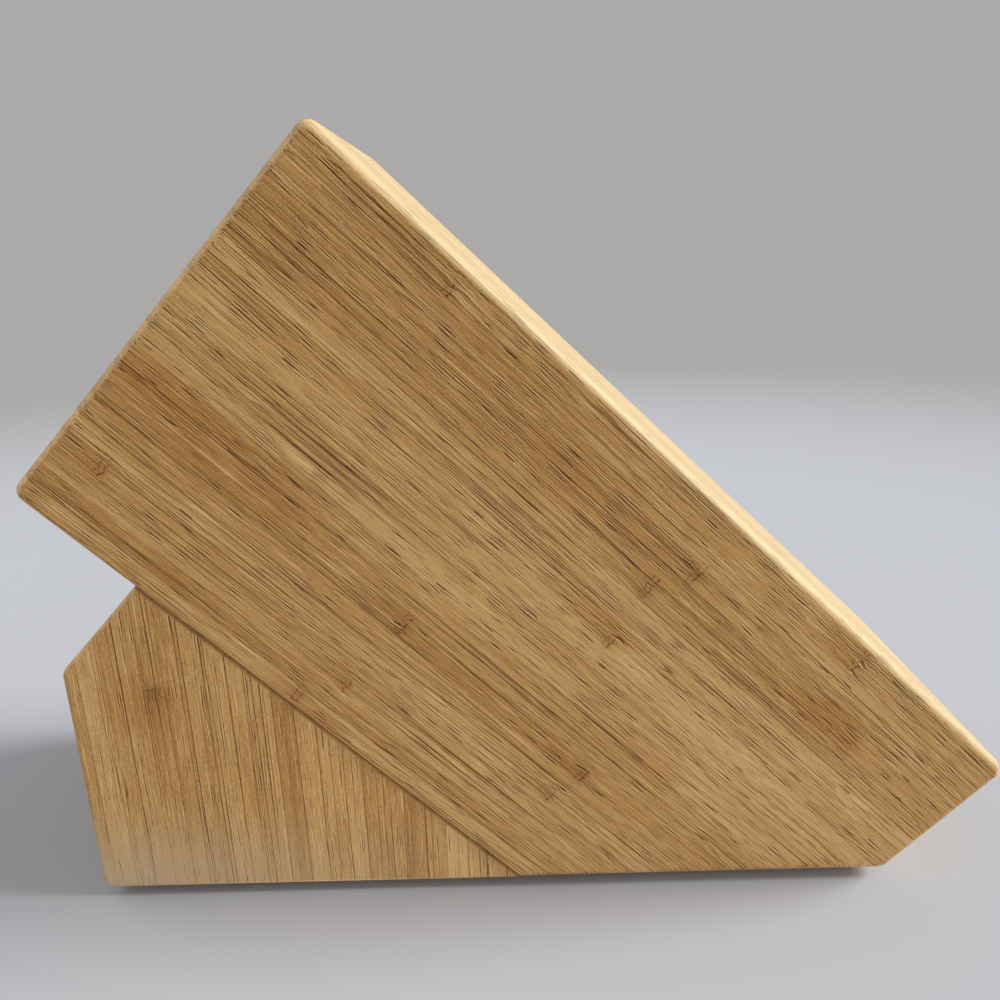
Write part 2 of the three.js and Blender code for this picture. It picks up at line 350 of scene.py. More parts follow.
def make_screws(material):
    for node in nodes_named("bumper_screw_"):
        low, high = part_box(node)
        centre = (low + high) / 2
        thread_start = low.z + SCREW_HEAD_HEIGHT + AXIS_RADIUS

        def reshape(radius, z, angle):
            return thread_radius(radius, z, angle) if z > thread_start else radius

        bm = turned(screw_profile(low.z, high.z), reshape)
        close_with_recess(bm, low.z)
        bmesh.ops.translate(bm, verts=bm.verts, vec=(centre.x, centre.y, 0))
        shade(finish_object(f"{node}_looks", bm, material, node))


def cross_outline(bm, scale, z):
    """The corners of a plus, anticlockwise: two at each arm's end, then the one before the next."""
    corners = []
    for arm in range(CROSS_ARMS):
        turn = Matrix.Rotation(2 * math.pi * arm / CROSS_ARMS, 2)
        for x, y in ((CROSS_LENGTH, -CROSS_WIDTH / 2), (CROSS_LENGTH, CROSS_WIDTH / 2),
                     (CROSS_WIDTH / 2, CROSS_WIDTH / 2)):
            corner = turn @ Vector((x, y)) * scale
            corners.append(bm.verts.new((corner.x, corner.y, z)))
    return corners


def close_with_recess(bm, low):
    """Closes a turned screw head, whose first ring is open, with a flat face and a cross recess."""
    bm.verts.ensure_lookup_table()
    rim = bm.verts[:TURN_STEPS]
    mouth = cross_outline(bm, 1.0, low)
    floor = cross_outline(bm, CROSS_TAPER, low + CROSS_DEPTH)
    part = TURN_STEPS // CROSS_ARMS
    corners_each = len(mouth) // CROSS_ARMS
    for arm in range(CROSS_ARMS):
        arc = [rim[(arm * part - part // 2 + k) % TURN_STEPS] for k in range(part + 1)]
        notch = [mouth[corners_each * arm + k] for k in (2, 1, 0, -1)]
        bm.faces.new(arc + notch)
    for i in range(len(mouth)):
        bm.faces.new((mouth[i - 1], mouth[i], floor[i], floor[i - 1]))
    bm.faces.new(floor)
    bmesh.ops.recalc_face_normals(bm, faces=bm.faces)


def make_dowels(material):
    """Fluted dowels with chamfered ends. They stand square to the body's underside."""
    for node in nodes_named("dowel_"):
        low, high = body_span(node)
        centre = (low + high) / 2
        radius = (high.y - low.y) / 2
        half = (high.z - low.z) / 2

        def fluted(r, z, angle):
            wave = 0.5 - 0.5 * math.cos(DOWEL_FLUTES * angle)
            return r - DOWEL_FLUTE_DEPTH * wave * (r / radius)

        profile = (
            (0, -half),
            (radius - DOWEL_CHAMFER, -half),
            (radius, -half + DOWEL_CHAMFER),
            (radius, half - DOWEL_CHAMFER),
            (radius - DOWEL_CHAMFER, half),
            (0, half),
        )
        bm = turned(profile, fluted)
        bmesh.ops.transform(bm, verts=bm.verts, matrix=FROM_BODY @ Matrix.Translation(centre))
        shade(finish_object(f"{node}_looks", bm, material, node))


# ---- Node helper ---------------------------------------------------------------------------------


class Tree:
    """A material's node tree, with short calls for the nodes that this script uses."""

    def __init__(self, name):
        self.material = bpy.data.materials.new(name)
        self.material.use_nodes = True
        self.nodes = self.material.node_tree.nodes
        self.links = self.material.node_tree.links
        self.shader = self.nodes["Principled BSDF"]

    def put(self, socket, value):
        """Links value into socket if it is a socket, and otherwise sets it there."""
        if isinstance(value, bpy.types.NodeSocket):
            self.links.new(value, socket)
        else:
            socket.default_value = value

    def add(self, kind, *values, **settings):
        node = self.nodes.new("ShaderNode" + kind)
        for key, value in settings.items():
            setattr(node, key, value)
        for socket, value in zip(node.inputs, values):
            self.put(socket, value)
        return node

    def math(self, operation, *values):
        return self.add("Math", *values, operation=operation).outputs[0]

    def plus(self, *values):
        total = values[0]
        for value in values[1:]:
            total = self.math("ADD", total, value)
        return total

    def times(self, *values):
        product = values[0]
        for value in values[1:]:
            product = self.math("MULTIPLY", product, value)
        return product

    def centred(self, value, weight=1.0):
        """A value between 0 and 1, moved to lie about 0 and weighted."""
        return self.times(self.math("SUBTRACT", value, 0.5), weight)

    def size(self, value):
        return self.math("ABSOLUTE", value)

    def opposite(self, value):
        return self.math("SUBTRACT", 1.0, value)

    def largest(self, *values):
        largest = values[0]
        for value in values[1:]:
            largest = self.math("MAXIMUM", largest, value)
        return largest

    def coordinate(self, kind):
        return self.add("TexCoord").outputs[kind]

    def scaled(self, vector, factors):
        return self.add("VectorMath", vector, factors, operation="MULTIPLY").outputs[0]

    def millimetres(self):
        """The place on the piece, in millimetres."""
        return self.scaled(self.coordinate("Object"), (1 / MM, 1 / MM, 1 / MM))

    def dot(self, vector, axis):
        node = self.add("VectorMath", vector, axis, operation="DOT_PRODUCT")
        return node.outputs["Value"]

    def combine(self, x, y, z):
        return self.add("CombineXYZ", x, y, z).outputs[0]

    def noise(self, vector, detail=0.0):
        node = self.add("TexNoise")
        self.put(node.inputs["Vector"], vector)
        self.put(node.inputs["Scale"], 1.0)
        self.put(node.inputs["Detail"], detail)
        return node.outputs[0]

    def stretched_noise(self, places, scales, detail=0.0):
        """Noise over three ways, each with its own scale. A scale of 1 needs no node."""
        ways = [place if scale == 1 else self.times(place, scale)
                for place, scale in zip(places, scales)]
        return self.noise(self.combine(*ways), detail)

    def white(self, x, y):
        """Three random numbers for each pair of whole numbers."""
        node = self.add("TexWhiteNoise", noise_dimensions="2D")
        self.put(node.inputs["Vector"], self.combine(x, y, 0.0))
        parts = self.add("SeparateColor", node.outputs["Color"])
        return parts.outputs[0], parts.outputs[1], parts.outputs[2]

    def ramp(self, value, low, high, out_low=0.0, out_high=1.0):
        """A smooth step from out_low to out_high as value goes from low to high."""
        node = self.add("MapRange", interpolation_type="SMOOTHSTEP")
        for key, number in (("Value", value), ("From Min", low), ("From Max", high),
                            ("To Min", out_low), ("To Max", out_high)):
            self.put(node.inputs[key], number)
        return node.outputs[0]

    def blend(self, factor, a, b, mode="MIX"):
        """Colour a, turning into b, or with MULTIPLY into a times b, as factor goes from 0 to 1.
        Each colour is a socket or three numbers."""
        node = self.add("Mix", data_type="RGBA", blend_type=mode)
        sockets = {socket.identifier: socket for socket in [*node.inputs, *node.outputs]}
        self.put(sockets["Factor_Float"], factor)
        for key, colour in (("A_Color", a), ("B_Color", b)):
            is_socket = isinstance(colour, bpy.types.NodeSocket)
            self.put(sockets[key], colour if is_socket else (*colour, 1))
        return sockets["Result_Color"]

    def shaded(self, colour, shade):
        """A plain colour made darker or lighter."""
        return self.blend(1.0, self.combine(shade, shade, shade), colour, "MULTIPLY")

    def colours(self, value, stops):
        """A colour ramp through (position, (red, green, blue)) stops."""
        node = self.add("ValToRGB", value)
        elements = node.color_ramp.elements
        while len(elements) < len(stops):
            elements.new(0.5)
        for element, (position, colour) in zip(elements, stops):
            element.position = position
            element.color = (*colour, 1)
        return node.outputs[0]

    def bump(self, height, distance):
        node = self.add("Bump")
        self.put(node.inputs["Distance"], distance)
        self.put(node.inputs["Height"], height)
        self.put(self.shader.inputs["Normal"], node.outputs[0])


# ---- Bamboo --------------------------------------------------------------------------------------
# The texture works in millimetres along the grain, across the strips and through their depth. Noise
# scales are per millimetre.

STRIP = 6.8  # width of a laminated strip
STRIP_WANDER = 1.2  # how far noise moves the strips' edges
STRIP_START = 5.5  # how much of the first strip was trimmed away
TOP_SEAM = 135.5  # above this height, the last seam is a plain one
SEAM_NEAR = 0.06  # from a seam's middle to where it starts to fade
SEAM_FAR = 0.24
DRIFT_LENGTH = 280.0  # over this length a board may drift paler
SEED_STEP = 17.0  # how far apart two boards lie in the noise
SEAM_SEED = 5.0  # added to a board's seed for its seams' random numbers
FLAT_SEED = 3.0  # goes with a board's seed to give its own shade
STRIP_SHIFT = 700.0  # how far apart two strips may lie along the noise

# Length and width of one feature.
FINE_FIBRE = (7.0, 0.26)
DASH = (10.0, 0.34)
PALE_FIBRE = (24.0, 0.5)
DASH_CLUSTER = (30.0, 2.2)
MIDDLING_FIBRE = (60.0, 0.7)
LONG_LINE = (110.0, 0.32)
BROAD_BAND = (150.0, 3.0)
LIT_SIDE_SHIFT = 0.33  # from a dark dash to its painted highlight, as on a groove's lit edge

# Noise scales, for the ways that each noise is drawn over.
WANDER_SCALE = 0.11
WAVE_SCALES = (0.012, 0.06, 1)
SWIRL_SCALES = (0.22, 0.35, 1)
STAIN_SCALES = (0.05, 0.16, 1)
CLOUD_SCALES = (0.014, 0.05, 0.05)
SPECKLE_SCALES = (1.2, 3.0, 3.0)
SEAM_SCALES = (0.025, 1, 1)
BAR_BEND_SCALES = (0.5, 1, 1)
BAR_PATCH_SCALES = (1.3, 0.7, 1)
PORE_SCALE = 2.1
END_CLOUD_SCALES = (1, 0.5, 0.25)

# Where noise starts to show as a mark, and where the mark is full.
CLUSTER_LIMITS = (0.38, 0.62)
CLOUD_STAIN_LIMITS = (0.58, 0.75)
PALE_LIMITS = (0.62, 0.76)
SEAM_SPREAD = (0.2, 0.8)  # a seam's random number, from the faintest to the plainest
SEAM_LIMITS = (0.35, 0.6)
BAR_LIMITS = (0.36, 0.6)
DASH_LIMIT = 0.69
DASH_FADE = 0.03
DASH_CALM = 0.085  # added to the limit on a calm board, for fewer dashes
DASH_LEAN = -0.06  # added at the side of a strip that has more of them
DASH_STAIN = -0.06  # added in a stain
DASH_SPARSE = 0.045  # added between clusters
DASH_CROWDED = -0.025
LINE_LIMIT = 0.685
LINE_FADE = 0.045
LINE_CALM = 0.035
PORE_LIMIT = 0.70
PORE_FADE = 0.10
PORE_LEAN = -0.17  # added at a strip's outer side, for more pores

WAVE = 1.2  # how far a strip's fibres weave about
TEAR = 1.3  # how torn a stain's edge is

KNUCKLE_SPACING = 430.0
KNUCKLE_REACH = 8.0  # how far along the grain a knuckle bends the fibres
KNUCKLE_BEND = 2.0  # how far aside it bends them
KNUCKLE_BAR = 0.42  # half the width of a knuckle's line
SECOND_BAR = 0.38
BAR_DISTANCE = 2.0
BAR_BEND = 2.2
WEDGE_LENGTH = 26.0
WEDGE_END = 1.0  # before the knuckle's middle
WEDGE_FADE = 3.0  # after it
HALO_REACH = 7.0
BAR_ENDS = (0.3, 0.48)  # from a strip's middle, as a share of its width, where the lines fade out
HALO_SIDES = (0.1, 0.5)
SAME_STRIP = STRIP * 0.6  # how far across from a listed knuckle a point still belongs to it
SPACINGS_AWAY = 10.0  # shifts the random knuckles, so no place along is below nothing
OTHER_STRIP = 1000.0  # a distance that stands for no knuckle in this strip

BAMBOO_DARK = (0.125, 0.04, 0.008)
BAMBOO_BROWN = (0.40, 0.175, 0.042)
BAMBOO_MIDDLE = (0.62, 0.337, 0.102)
BAMBOO_LIGHT = (0.86, 0.56, 0.24)
BAMBOO_TONES = (
    (0.0, BAMBOO_DARK), (0.24, BAMBOO_BROWN), (0.5, BAMBOO_MIDDLE), (0.85, BAMBOO_LIGHT),
)
PALE_BASE = (0.66, 0.49, 0.30)
STAIN = (0.80, 0.62, 0.42)
END_GRAIN = (0.86, 0.57, 0.265)
END_PORE = (0.20, 0.085, 0.022)
# The strips' flat faces, painted paler still where they face the light: painted sheen.
FLAT_GRAIN_SHEEN = (0.71, 0.56, 0.315)

# How strong a mark is, from 0 to 1. A CALM_ number is what a calm board adds to the one before it.
SEAM_DARK = 0.65
CALM_SEAM_DARK = 0.15
SEAM_FAINTEST = 0.15  # the faintest seam against the plainest
CALM_SEAM_FAINTEST = 0.4
SEAM_GAP = 0.3  # a seam where it is broken
CALM_SEAM_GAP = 0.4
BAR_DARK = 0.68
CALM_BAR_DARK = -0.35
BAR_GAP = 0.25
SECOND_BAR_DARK = 0.6
WEDGE_BROWN = 0.75
HALO_BROWN = 0.4
HALO_EDGE = 0.35  # a halo at a strip's edge, against its middle
CLOUD_STAIN = 0.5
PORE_DARK = 0.4
END_LINE_DARK = 0.5
PALE_BASE_DARK_MARKS = 0.6  # how far the dark marks keep a pale base out
FLAT_DARK = 0.35  # how far they keep the pale flat face and its painted sheen out

# How much each layer moves the tone. A tone of 0.5 is BAMBOO_MIDDLE.
BASE_TONE = 0.515
CALM_BASE_TONE = -0.03
STRIP_TONE = 0.20
CALM_STRIP_TONE = 0.12
CLOUD_TONE = 0.22
BROAD_TONE = 0.25
MIDDLING_TONE = 0.18
FINE_TONE = 0.40
SPECKLE_TONE = 0.34
PALE_TONE = 0.32
HALO_TONE = -0.16
DARK_TONE = 0.66

# Brightness of the end grain, raised in part as painted light, and of the flat sides, with painted
# sheen, and how much each layer moves it.
END_SHADE_AND_LIGHT = 0.97
END_STRIP_SHADE = 0.20
END_CLOUD_SHADE = 0.35
END_LEAN_SHADE = -0.12
FLAT_SHADE = 0.93
FLAT_BOARD_SHADE = 0.12
FLAT_JOINT_SHADE = -0.6

# How far a surface faces along the grain, as a cosine, where it starts to show end grain and where
# it shows nothing else. The same, across the strips, for their pale flat sides with painted sheen.
END_TURN = (0.08, 0.55)
FLAT_TURN = (0.03, 0.6)

# The glue line between two boards, as a share of a board's thickness.
JOINT_NEAR = 0.010
JOINT_FAR = 0.030
JOINT_STRENGTH = 0.7

# The foot's pale base: it is gone at this height, and it fades between these distances behind the
# foot's front.
PALE_BASE_TOP = 42.0
PALE_BASE_FRONT = (10.0, 120.0)
PALE_BASE_BACK = 0.2

WOOD_ROUGHNESS = 0.44
MARK_ROUGHNESS = 0.12
FINE_ROUGHNESS = 0.10
END_ROUGHNESS = 0.12
WOOD_SPECULAR = 0.28
WOOD_BUMP = 0.09 * MM
FINE_HEIGHT = 0.5
MIDDLING_HEIGHT = 0.4
DARK_HEIGHT = -1.2

# Places on the near side board, rounded: u and v in millimetres.
NEAR_KNUCKLES = (
    (17, 26), (116, 47), (116, 19), (107, 5), (193, 33), (196, 46),
    (168, 87), (164, 108), (172, 121), (232, 135), (59, 135),
)
# Centre u and v, half length, half width, strength.
NEAR_STAINS = (
    (18, 57, 30, 8, 0.65),
    (56, 56, 24, 8, 0.4),
    (158, 90, 24, 5, 0.5),
    (203, 65, 30, 6, 0.45),
    (240, 115, 22, 9, 0.65),
    (113, 3, 22, 5, 0.6),
    (130, 120, 40, 10, 0.3),
)

# Places on the foot: height, and distance behind the foot's front.
FOOT_KNUCKLES = ((81, 33),)
FOOT_STAINS = (
    (76, 22, 14, 12, 0.5),
    (19, 87, 16, 3, 0.6),
    (40, 60, 30, 5, 0.25),
)


class Grain:
    """Sockets that the bamboo's parts share: along, across and depth place a point in millimetres,
    seed tells boards apart, and add_strips and add_fibre_paths set the others."""

    def __init__(self, tree, axes):
        place = tree.millimetres()
        self.along, self.across, self.depth = (
            tree.math("SUBTRACT", tree.dot(place, direction), origin) for direction, origin in axes
        )
        seed = tree.add("Attribute", attribute_name="board_seed").outputs["Fac"]
        self.seed = tree.times(seed, SEED_STEP)


def add_strips(tree, grain, calm):
    """Which strip a point is in, where in that strip it is, and the strip's random numbers."""
    wander = tree.noise(tree.combine(tree.times(grain.across, WANDER_SCALE), grain.seed, 0.0))
    moved = tree.plus(tree.centred(wander, STRIP_WANDER), grain.across)
    position = tree.math("DIVIDE", tree.plus(moved, STRIP_START), STRIP)
    seam_number = tree.math("FLOOR", tree.plus(position, 0.5))
    seam_random = tree.white(seam_number, tree.plus(grain.seed, SEAM_SEED))[0]
    top = tree.math("GREATER_THAN", grain.across, TOP_SEAM)
    faintest = SEAM_FAINTEST + CALM_SEAM_FAINTEST * calm
    grain.seam_strength = tree.plus(tree.ramp(seam_random, *SEAM_SPREAD, faintest, 1.0), top)
    grain.strip = tree.math("FLOOR", position)
    grain.inside = tree.math("FRACT", position)
    grain.from_middle = tree.size(tree.centred(grain.inside))
    grain.tone_random, grain.start_random, grain.kind_random = tree.white(grain.strip, grain.seed)


def listed_knuckles(tree, grain, places):
    """Distance along the grain to the nearest listed knuckle in the same strip."""
    nearest = None
    for u, v in places:
        same = tree.math("COMPARE", grain.across, float(v), SAME_STRIP)
        far = tree.times(tree.opposite(same), OTHER_STRIP)
        distance = tree.plus(tree.math("SUBTRACT", grain.along, float(u)), far)
        if nearest is None:
            nearest = distance
            continue
        closer = tree.math("LESS_THAN", tree.size(distance), tree.size(nearest))
        change = tree.times(closer, tree.math("SUBTRACT", distance, nearest))
        nearest = tree.plus(nearest, change)
    return nearest


def random_knuckles(tree, grain):
    """Distance along the grain to the strip's own knuckle."""
    start = tree.times(grain.start_random, KNUCKLE_SPACING)
    shifted = tree.plus(grain.along, start, KNUCKLE_SPACING * SPACINGS_AWAY)
    part = tree.math("FRACT", tree.math("DIVIDE", shifted, KNUCKLE_SPACING))
    return tree.centred(part, KNUCKLE_SPACING)


def near_to(tree, distance, reach):
    """1 at a distance of nothing, down to 0 at reach."""
    return tree.ramp(tree.size(distance), 0.0, reach, 1.0, 0.0)


def add_fibre_paths(tree, grain, knuckle):
    """Each strip's fibres are its own and gently wavy, and they bend aside round a knuckle."""
    grain.own_along = tree.math("MULTIPLY_ADD", grain.start_random, STRIP_SHIFT, grain.along)
    wave = tree.stretched_noise((grain.own_along, grain.across, grain.seed), WAVE_SCALES)
    swirl = tree.stretched_noise((grain.along, grain.across, grain.depth), SWIRL_SCALES)
    pushed = tree.times(tree.centred(swirl), near_to(tree, knuckle, KNUCKLE_REACH), KNUCKLE_BEND)
    grain.wavy = tree.plus(grain.across, tree.times(wave, WAVE), pushed)


def fibre_noise(tree, grain, size, detail=0.0, shift=0.0):
    """Noise drawn out along the grain: size is one feature's length and width."""
    length, width = size
    run = tree.math("DIVIDE", grain.own_along, length)
    across = tree.math("MULTIPLY_ADD", grain.wavy, 1 / width, shift / width)
    depth = tree.math("DIVIDE", grain.depth, width)
    return tree.noise(tree.combine(run, across, depth), detail)


def stain_mask(tree, grain, stains):
    """Soft blotches with torn edges, at the listed places."""
    ragged = tree.stretched_noise((grain.along, grain.across, grain.seed), STAIN_SCALES, 2.0)
    tear = tree.centred(ragged, TEAR)
    total = 0.0
    for u, v, length, width, strength in stains:
        x = tree.math("DIVIDE", tree.math("SUBTRACT", grain.along, float(u)), float(length))
        y = tree.math("DIVIDE", tree.math("SUBTRACT", grain.across, float(v)), float(width))
        torn = tree.plus(tree.times(x, x), tree.times(y, y), tear)
        total = tree.plus(total, tree.ramp(torn, 0.0, 1.0, strength, 0.0))
    return total


def fibre_marks(tree, grain, lean, blotch, calm):
    """Dark fibre bundles, closer together towards one edge of each strip, and pale ones. A short
    dark dash has a painted highlight beside it, as on the lit edge of a groove."""
    clusters = fibre_noise(tree, grain, DASH_CLUSTER)
    limit = tree.plus(
        tree.ramp(clusters, *CLUSTER_LIMITS, DASH_SPARSE, DASH_CROWDED),
        DASH_LIMIT + DASH_CALM * calm,
        tree.times(lean, DASH_LEAN),
        tree.times(blotch, DASH_STAIN),
    )
    # Each dark dash, and beside it its painted highlight.
    dashes, painted_lit_sides = (
        tree.ramp(tree.math("SUBTRACT", fibre_noise(tree, grain, DASH, shift=shift), limit),
                  0.0, DASH_FADE)
        for shift in (0.0, LIT_SIDE_SHIFT)
    )
    line_limit = LINE_LIMIT + LINE_CALM * calm
    lines = tree.ramp(fibre_noise(tree, grain, LONG_LINE), line_limit, line_limit + LINE_FADE)
    pale = tree.ramp(fibre_noise(tree, grain, PALE_FIBRE), *PALE_LIMITS)
    return tree.largest(dashes, lines), tree.largest(pale, painted_lit_sides)


def strip_seams(tree, grain, calm):
    """Dark lines between strips: some are plain, and some hardly show."""
    edge = tree.times(tree.math("SUBTRACT", 0.5, grain.from_middle), STRIP)
    patches = tree.stretched_noise((grain.along, grain.strip, grain.seed), SEAM_SCALES)
    broken = tree.ramp(patches, *SEAM_LIMITS, SEAM_GAP + CALM_SEAM_GAP * calm, 1.0)
    line = tree.ramp(edge, SEAM_NEAR, SEAM_FAR, 1.0, 0.0)
    return tree.times(line, broken, grain.seam_strength, SEAM_DARK + CALM_SEAM_DARK * calm)


def knuckle_marks(tree, grain, knuckle, calm):
    """A crooked, broken line across the strip with another beside it, and a brown halo: a wedge
    that deepens along the grain and stops at the knuckle."""
    bends = tree.stretched_noise((grain.across, grain.strip, grain.depth), BAR_BEND_SCALES)
    crooked = tree.plus(knuckle, tree.centred(bends, BAR_BEND))
    second = near_to(tree, tree.plus(crooked, BAR_DISTANCE), SECOND_BAR)
    strip_middle = tree.ramp(grain.from_middle, *BAR_ENDS, 1.0, 0.0)
    patches = tree.stretched_noise((grain.across, grain.along, grain.seed), BAR_PATCH_SCALES)
    bars = tree.times(
        tree.largest(near_to(tree, crooked, KNUCKLE_BAR), tree.times(second, SECOND_BAR_DARK)),
        strip_middle,
        tree.ramp(patches, *BAR_LIMITS, BAR_GAP, 1.0),
        BAR_DARK + CALM_BAR_DARK * calm,
    )
    wedge = tree.times(tree.ramp(knuckle, -WEDGE_LENGTH, -WEDGE_END),
                       tree.ramp(knuckle, -WEDGE_END, WEDGE_FADE, 1.0, 0.0), WEDGE_BROWN)
    round_it = tree.times(near_to(tree, knuckle, HALO_REACH), HALO_BROWN)
    narrowed = tree.ramp(grain.from_middle, *HALO_SIDES, 1.0, HALO_EDGE)
    return bars, tree.times(tree.plus(wedge, round_it), narrowed)


def board_joint(tree, normal):
    """A thin line where two boards are glued together, seen on edge."""
    part_through = tree.dot(tree.coordinate("Generated"), (0, 1, 0))
    from_face = tree.math("SUBTRACT", 0.5, tree.size(tree.centred(part_through)))
    side_on = tree.opposite(tree.size(tree.dot(normal, (0, 1, 0))))
    line = tree.ramp(from_face, JOINT_NEAR, JOINT_FAR, 1.0, 0.0)
    return tree.times(line, side_on, JOINT_STRENGTH)


def end_grain(tree, grain, lean, line):
    """The colour of a strip cut across: pale wood, brightened in part as painted light, with pores
    that crowd towards its outer side.
    """
    pores = tree.noise(tree.combine(
        0.0, tree.times(grain.across, PORE_SCALE), tree.times(grain.depth, PORE_SCALE)))
    limit = tree.math("MULTIPLY_ADD", lean, PORE_LEAN, PORE_LIMIT)
    dots = tree.ramp(tree.math("SUBTRACT", pores, limit), 0.0, PORE_FADE)
    soft = tree.stretched_noise((grain.seed, grain.across, grain.depth), END_CLOUD_SCALES, 2.0)
    # The end grain's brightness, raised in part as painted light.
    shade = tree.plus(
        END_SHADE_AND_LIGHT,
        tree.centred(grain.tone_random, END_STRIP_SHADE),
        tree.centred(soft, END_CLOUD_SHADE),
        tree.times(lean, END_LEAN_SHADE),
    )
    marks = tree.largest(tree.times(dots, PORE_DARK), tree.times(line, END_LINE_DARK))
    return tree.blend(marks, tree.shaded(END_GRAIN, shade), END_PORE)


def flat_grain_sheen(tree, grain, joint):
    """The paler colour of the strips' upper flat faces, a little different on each board, made paler
    still as painted sheen where they face the light.
    """
    board_random = tree.white(grain.seed, FLAT_SEED)[0]
    shade = tree.plus(
        FLAT_SHADE,
        tree.times(board_random, FLAT_BOARD_SHADE),
        tree.times(joint, FLAT_JOINT_SHADE),
    )
    return tree.shaded(FLAT_GRAIN_SHEEN, shade)


def bamboo(name, axes, knuckles=(), stains=(), calm=0.0, drift=0.0, lit_face_sheen=0.8,
           pale_base=0.0):
    """Laminated bamboo. axes gives the direction and the origin in millimetres of the ways along,
    across and through the strips. calm thins out the fibres and makes the strips plainer. drift
    makes the wood paler from one end to the other, lit_face_sheen adds painted sheen where the
    strips' flat sides face the light across the strips, and pale_base makes it paler near the first
    end."""
    tree = Tree(name)
    grain = Grain(tree, axes)
    add_strips(tree, grain, calm)
    if knuckles:
        knuckle = listed_knuckles(tree, grain, knuckles)
    else:
        knuckle = random_knuckles(tree, grain)
    add_fibre_paths(tree, grain, knuckle)

    fine = fibre_noise(tree, grain, FINE_FIBRE)
    middling = fibre_noise(tree, grain, MIDDLING_FIBRE)
    broad = fibre_noise(tree, grain, BROAD_BAND, 1.0)
    place = (grain.along, grain.across, grain.depth)
    speckle = tree.stretched_noise(place, SPECKLE_SCALES)
    cloud = tree.stretched_noise(place, CLOUD_SCALES, 3.0)
    if stains:
        blotch = stain_mask(tree, grain, stains)
    else:
        blotch = tree.ramp(cloud, *CLOUD_STAIN_LIMITS, 0.0, CLOUD_STAIN)

    # lean goes from 0 to 1 across a strip, in some strips one way and in others the other way.
    flip = tree.math("GREATER_THAN", grain.kind_random, 0.5)
    lean = tree.size(tree.math("SUBTRACT", grain.inside, flip))
    # pale holds the pale fibres and the painted highlights beside the dark dashes.
    marks, pale = fibre_marks(tree, grain, lean, blotch, calm)
    bars, halo = knuckle_marks(tree, grain, knuckle, calm)
    normal = tree.coordinate("Normal")
    joint = board_joint(tree, normal)
    seam = strip_seams(tree, grain, calm)
    dark = tree.largest(marks, joint, seam, bars)

    tone = tree.plus(
        BASE_TONE + CALM_BASE_TONE * calm,
        tree.centred(grain.tone_random, STRIP_TONE + CALM_STRIP_TONE * calm),
        tree.centred(cloud, CLOUD_TONE),
        tree.centred(broad, BROAD_TONE),
        tree.centred(middling, MIDDLING_TONE),
        tree.centred(fine, FINE_TONE),
        tree.centred(speckle, SPECKLE_TONE),
        tree.ramp(grain.along, 0.0, DRIFT_LENGTH, -drift, drift),
        tree.times(pale, PALE_TONE),
        tree.times(halo, HALO_TONE),
    )
    shown = tree.math("SUBTRACT", tone, tree.times(dark, DARK_TONE))
    colour = tree.blend(blotch, tree.colours(shown, BAMBOO_TONES), STAIN, "MULTIPLY")
    # Paler towards the foot's bottom and its front.
    paler_base = tree.times(
        tree.ramp(grain.along, 0.0, PALE_BASE_TOP, pale_base, 0.0),
        tree.ramp(grain.across, *PALE_BASE_FRONT, 1.0, PALE_BASE_BACK),
        tree.opposite(tree.times(dark, PALE_BASE_DARK_MARKS)),
    )
    colour = tree.blend(paler_base, colour, PALE_BASE)

    # Flat faces with painted sheen, and end grain with some painted light, by the way that the
    # surface faces.
    (along_axis, _), (across_axis, _), _ = axes
    end = tree.ramp(tree.size(tree.dot(normal, along_axis)), *END_TURN)
    # Flat faces turned across the strips towards the light are painted paler: painted sheen.
    flat = tree.ramp(tree.dot(normal, across_axis), *FLAT_TURN)
    kept_flat = tree.opposite(tree.times(dark, FLAT_DARK))
    sheen_share = tree.times(flat, kept_flat, lit_face_sheen)
    colour = tree.blend(sheen_share, colour, flat_grain_sheen(tree, grain, joint))
    colour = tree.blend(end, colour, end_grain(tree, grain, lean, tree.largest(seam, joint)))

    tree.put(tree.shader.inputs["Base Color"], colour)
    rough = tree.plus(
        WOOD_ROUGHNESS,
        tree.times(marks, MARK_ROUGHNESS),
        tree.times(fine, FINE_ROUGHNESS),
        tree.times(end, END_ROUGHNESS),
    )
    tree.put(tree.shader.inputs["Roughness"], rough)
    tree.shader.inputs["Specular IOR Level"].default_value = WOOD_SPECULAR
    height = tree.plus(
        tree.times(fine, FINE_HEIGHT),
        tree.times(middling, MIDDLING_HEIGHT),
        tree.times(dark, DARK_HEIGHT),
    )
    tree.bump(height, WOOD_BUMP)
    return tree.material


def body_directions():
    """The directions along the body's length and square to it, in the body's own plane."""
    turn = FROM_BODY.to_3x3()
    return tuple(turn @ Vector((1, 0, 0))), tuple(turn @ Vector((0, 0, 1)))


def bamboo_axes():
    """Directions and origins of the body's grain and of the foot's."""
    low = body_span("side_board_near")[0]
    down, up = body_directions()
    through = ((0, 1, 0), low.y / MM)
    body = ((down, low.x / MM), (up, low.z / MM), through)
    upright = (((0, 0, 1), 0.0), ((1, 0, 0), CAD_BOX[0].x / MM), through)
    return body, upright


# ---- Rubber, steel and beech ---------------------------------------------------------------------

